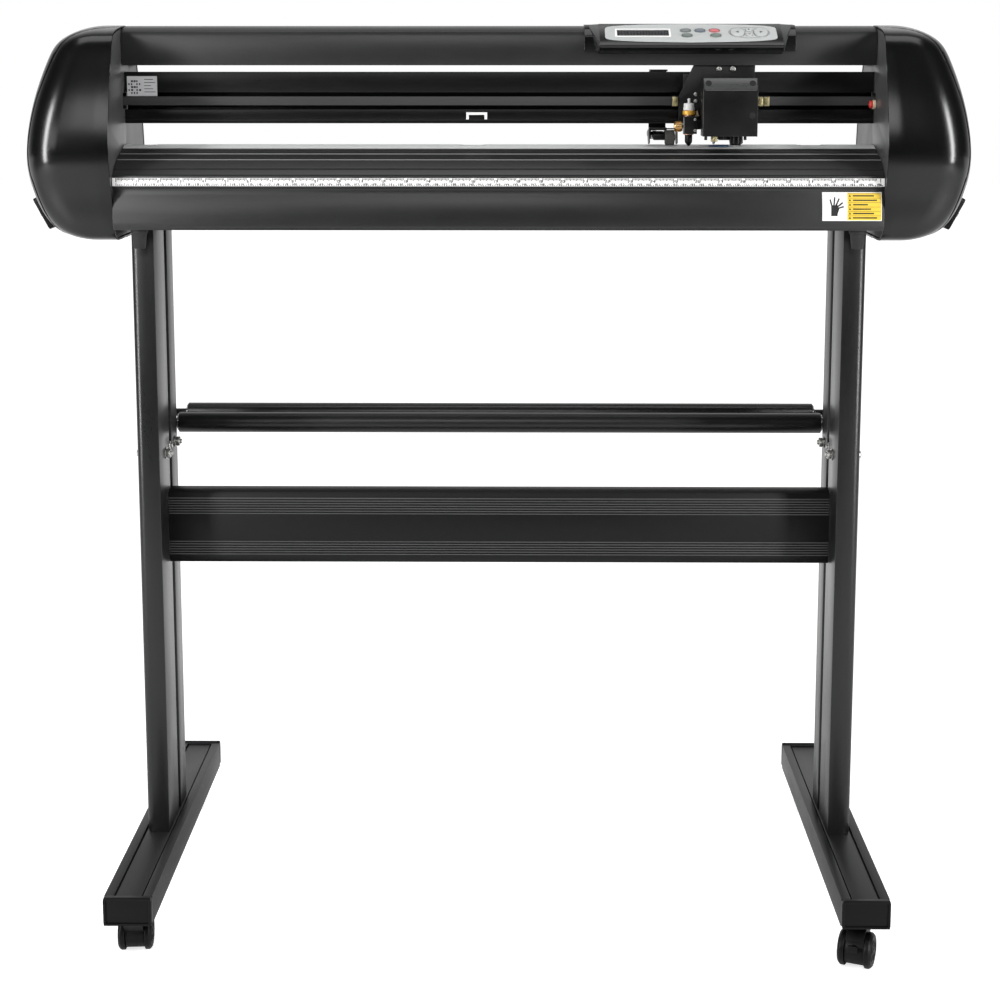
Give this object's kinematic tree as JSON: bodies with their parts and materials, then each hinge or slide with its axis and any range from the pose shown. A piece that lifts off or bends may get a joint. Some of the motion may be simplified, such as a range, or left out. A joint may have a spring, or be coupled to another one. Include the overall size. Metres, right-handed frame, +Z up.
{
  "type": "vinyl cutter",
  "caption": "Floor-standing vinyl cutter: cutting head with carriage, control panel and platen on a slotted stand with casters.",
  "frame": {"origin": "centre of the object's footprint, on the floor", "axes": "+X to the operator's right, +Y from the front to the back, +Z up"},
  "size_m": [1.0814, 0.5082, 1.0434],
  "materials": {
    "stand_metal": "satin black coated aluminium extrusion",
    "head_metal": "satin black anodised aluminium",
    "plate_metal": "satin dark grey painted sheet steel",
    "rail_metal": "semi-gloss black anodised aluminium",
    "cap_plastic": "matte black moulded plastic",
    "cover_plastic": "glossy black moulded plastic",
    "carriage_plastic": "fine-grained black moulded plastic",
    "wheel_rubber": "matt dark grey rubber",
    "bare_steel": "bright turned steel",
    "motor_body": "black motor housing",
    "brass": "turned brass",
    "belt_rubber": "dark grey toothed belt",
    "keypad_film": "silver-grey satin film",
    "key_grey": "blue-grey film",
    "key_red": "red film",
    "key_green": "grey-green film",
    "holder_white": "white cap and black barrel with a gold ring",
    "board_green": "green circuit board"
  },
  "bodies": {
    "root": {"foot_beam_left": "stand_metal", "post_left": "stand_metal", "roller_bracket_left": "plate_metal", "end_cover_left": "cover_plastic", "side_plate_left": "plate_metal", "foot_cap_front_left": "cap_plastic", "foot_cap_rear_left": "cap_plastic", "foot_beam_right": "stand_metal", "post_right": "stand_metal", "roller_bracket_right": "plate_metal", "end_cover_right": "cover_plastic", "side_plate_right": "plate_metal", "foot_cap_front_right": "cap_plastic", "foot_cap_rear_right": "cap_plastic", "cross_panel": "stand_metal", "top_beam": "head_metal", "guide_rail": "rail_metal", "platen": "head_metal", "drive_belt": "belt_rubber", "carriage_motor": "motor_body", "feed_motor": "motor_body", "main_board": "board_green", "panel_housing": "cover_plastic", "keypad_plate": "keypad_film", "power_inlet": "cap_plastic"},
    "roller_tube_front": {"roller_tube_front": "stand_metal"},
    "roller_tube_rear": {"roller_tube_rear": "stand_metal"},
    "caster_fork_front_left": {"caster_hood_front_left": "cap_plastic"},
    "caster_wheels_front_left": {"caster_wheels_front_left": "cap_plastic"},
    "caster_fork_front_right": {"caster_hood_front_right": "cap_plastic"},
    "caster_wheels_front_right": {"caster_wheels_front_right": "cap_plastic"},
    "caster_fork_rear_left": {"caster_hood_rear_left": "cap_plastic"},
    "caster_wheels_rear_left": {"caster_wheels_rear_left": "cap_plastic"},
    "caster_fork_rear_right": {"caster_hood_rear_right": "cap_plastic"},
    "caster_wheels_rear_right": {"caster_wheels_rear_right": "cap_plastic"},
    "drive_pulley": {"drive_pulley": "bare_steel"},
    "idler_pulley": {"idler_pulley": "bare_steel"},
    "grit_shaft": {"grit_shaft": "bare_steel"},
    "feed_pinion": {"feed_pinion": "brass"},
    "key_reset": {"key_reset": "key_grey"},
    "key_test": {"key_test": "key_grey"},
    "key_stop": {"key_stop": "key_red"},
    "key_menu": {"key_menu": "key_green"},
    "key_enter": {"key_enter": "key_green"},
    "key_left": {"key_left": "keypad_film"},
    "key_right": {"key_right": "keypad_film"},
    "key_up": {"key_up": "keypad_film"},
    "key_down": {"key_down": "keypad_film"},
    "carriage": {"carriage_plate": "carriage_plastic", "carriage_cover": "carriage_plastic"},
    "tool": {"tool_slider": "carriage_plastic", "blade_holder": "holder_white"},
    "clamp_knob": {"clamp_knob": "brass"},
    "pinch_bracket_left": {"pinch_bracket_left": "carriage_plastic"},
    "pinch_arm_left": {"pinch_arm_left": "carriage_plastic"},
    "pinch_wheel_left": {"pinch_wheel_left": "wheel_rubber"},
    "pinch_bracket_right": {"pinch_bracket_right": "carriage_plastic"},
    "pinch_arm_right": {"pinch_arm_right": "carriage_plastic"},
    "pinch_wheel_right": {"pinch_wheel_right": "wheel_rubber"},
    "power_switch": {"power_switch": "cap_plastic"}
  },
  "joints": [
    {"name": "carriage_slide", "type": "slide", "parent": "root", "child": "carriage", "axis": [1, 0, 0], "range_m": [-0.62, 0.1]},
    {"name": "tool_drop", "type": "slide", "parent": "carriage", "child": "tool", "axis": [0, 0, 1], "range_m": [-0.003, 0], "stiffness_N_per_m": 400, "springref_m": 0.003},
    {"name": "clamp_knob_turn", "type": "hinge", "parent": "tool", "child": "clamp_knob", "pos_m": [0.208, -0.0275, 0.9263], "axis": [1, 0, 0], "range_deg": [0, 360]},
    {"name": "pinch_left_slide", "type": "slide", "parent": "root", "child": "pinch_bracket_left", "axis": [1, 0, 0], "range_m": [-0.6, 0.03]},
    {"name": "pinch_left_lift", "type": "hinge", "parent": "pinch_bracket_left", "child": "pinch_arm_left", "pos_m": [0.1865, 0.012, 0.917], "axis": [-1, 0, 0], "range_deg": [0, 8]},
    {"name": "pinch_left_spin", "type": "hinge", "parent": "pinch_arm_left", "child": "pinch_wheel_left", "pos_m": [0.1985, -0.012, 0.9131], "axis": [1, 0, 0], "continuous": true},
    {"name": "pinch_right_slide", "type": "slide", "parent": "root", "child": "pinch_bracket_right", "axis": [1, 0, 0], "range_m": [-0.01, 0.14]},
    {"name": "pinch_right_lift", "type": "hinge", "parent": "pinch_bracket_right", "child": "pinch_arm_right", "pos_m": [0.262, 0.012, 0.917], "axis": [-1, 0, 0], "range_deg": [0, 8]},
    {"name": "pinch_right_spin", "type": "hinge", "parent": "pinch_arm_right", "child": "pinch_wheel_right", "pos_m": [0.274, -0.012, 0.9131], "axis": [1, 0, 0], "continuous": true},
    {"name": "grit_shaft_spin", "type": "hinge", "parent": "root", "child": "grit_shaft", "pos_m": [0, -0.003, 0.8952], "axis": [1, 0, 0], "continuous": true},
    {"name": "feed_pinion_spin", "type": "hinge", "parent": "root", "child": "feed_pinion", "pos_m": [0.448, 0.0138, 0.8716], "axis": [1, 0, 0], "continuous": true},
    {"name": "drive_pulley_spin", "type": "hinge", "parent": "root", "child": "drive_pulley", "pos_m": [-0.461, 0.001, 0.955], "axis": [0, 0, 1], "continuous": true},
    {"name": "idler_pulley_spin", "type": "hinge", "parent": "root", "child": "idler_pulley", "pos_m": [0.455, 0.001, 0.955], "axis": [0, 0, 1], "continuous": true},
    {"name": "key_reset_press", "type": "slide", "parent": "root", "child": "key_reset", "axis": [0, 0.4844, -0.8749], "range_m": [0, 0.0005], "stiffness_N_per_m": 300, "springref_m": -0.001},
    {"name": "key_test_press", "type": "slide", "parent": "root", "child": "key_test", "axis": [0, 0.4844, -0.8749], "range_m": [0, 0.0005], "stiffness_N_per_m": 300, "springref_m": -0.001},
    {"name": "key_stop_press", "type": "slide", "parent": "root", "child": "key_stop", "axis": [0, 0.4844, -0.8749], "range_m": [0, 0.0005], "stiffness_N_per_m": 300, "springref_m": -0.001},
    {"name": "key_menu_press", "type": "slide", "parent": "root", "child": "key_menu", "axis": [0, 0.4844, -0.8749], "range_m": [0, 0.0005], "stiffness_N_per_m": 300, "springref_m": -0.001},
    {"name": "key_enter_press", "type": "slide", "parent": "root", "child": "key_enter", "axis": [0, 0.4844, -0.8749], "range_m": [0, 0.0005], "stiffness_N_per_m": 300, "springref_m": -0.001},
    {"name": "key_left_press", "type": "slide", "parent": "root", "child": "key_left", "axis": [0, 0.4844, -0.8749], "range_m": [0, 0.0005], "stiffness_N_per_m": 300, "springref_m": -0.001},
    {"name": "key_right_press", "type": "slide", "parent": "root", "child": "key_right", "axis": [0, 0.4844, -0.8749], "range_m": [0, 0.0005], "stiffness_N_per_m": 300, "springref_m": -0.001},
    {"name": "key_up_press", "type": "slide", "parent": "root", "child": "key_up", "axis": [0, 0.4844, -0.8749], "range_m": [0, 0.0005], "stiffness_N_per_m": 300, "springref_m": -0.001},
    {"name": "key_down_press", "type": "slide", "parent": "root", "child": "key_down", "axis": [0, 0.4844, -0.8749], "range_m": [0, 0.0005], "stiffness_N_per_m": 300, "springref_m": -0.001},
    {"name": "power_switch_rock", "type": "hinge", "parent": "root", "child": "power_switch", "pos_m": [-0.52875, 0.025, 0.8264], "axis": [0.4668, 0, -0.8844], "range_deg": [0, 16]},
    {"name": "roller_front_spin", "type": "hinge", "parent": "root", "child": "roller_tube_front", "pos_m": [0, 0.086, 0.557], "axis": [1, 0, 0], "continuous": true},
    {"name": "roller_rear_spin", "type": "hinge", "parent": "root", "child": "roller_tube_rear", "pos_m": [0, 0.154, 0.557], "axis": [1, 0, 0], "continuous": true},
    {"name": "caster_front_left_swivel", "type": "hinge", "parent": "root", "child": "caster_fork_front_left", "pos_m": [-0.41, -0.217, 0.045], "axis": [0, 0, 1], "continuous": true},
    {"name": "caster_front_left_roll", "type": "hinge", "parent": "caster_fork_front_left", "child": "caster_wheels_front_left", "pos_m": [-0.41126, -0.19904, 0.02], "axis": [0.9976, 0.0698, 0], "continuous": true},
    {"name": "caster_front_right_swivel", "type": "hinge", "parent": "root", "child": "caster_fork_front_right", "pos_m": [0.41, -0.217, 0.045], "axis": [0, 0, 1], "continuous": true},
    {"name": "caster_front_right_roll", "type": "hinge", "parent": "caster_fork_front_right", "child": "caster_wheels_front_right", "pos_m": [0.40326, -0.23369, 0.02], "axis": [-0.9272, 0.3746, 0], "continuous": true},
    {"name": "caster_rear_left_swivel", "type": "hinge", "parent": "root", "child": "caster_fork_rear_left", "pos_m": [-0.41, 0.217, 0.045], "axis": [0, 0, 1], "continuous": true},
    {"name": "caster_rear_left_roll", "type": "hinge", "parent": "caster_fork_rear_left", "child": "caster_wheels_rear_left", "pos_m": [-0.42787, 0.21919, 0.02], "axis": [0.1219, 0.9925, 0], "continuous": true},
    {"name": "caster_rear_right_swivel", "type": "hinge", "parent": "root", "child": "caster_fork_rear_right", "pos_m": [0.41, 0.217, 0.045], "axis": [0, 0, 1], "continuous": true},
    {"name": "caster_rear_right_roll", "type": "hinge", "parent": "caster_fork_rear_right", "child": "caster_wheels_rear_right", "pos_m": [0.42787, 0.21481, 0.02], "axis": [-0.1219, -0.9925, 0], "continuous": true}
  ],
  "couplings": [
    {"joint": "feed_pinion_spin", "follows": "grit_shaft_spin", "ratio": -3.1429},
    {"joint": "drive_pulley_spin", "follows": "carriage_slide", "rad_per_m": 151.52},
    {"joint": "idler_pulley_spin", "follows": "carriage_slide", "rad_per_m": 151.52}
  ]
}
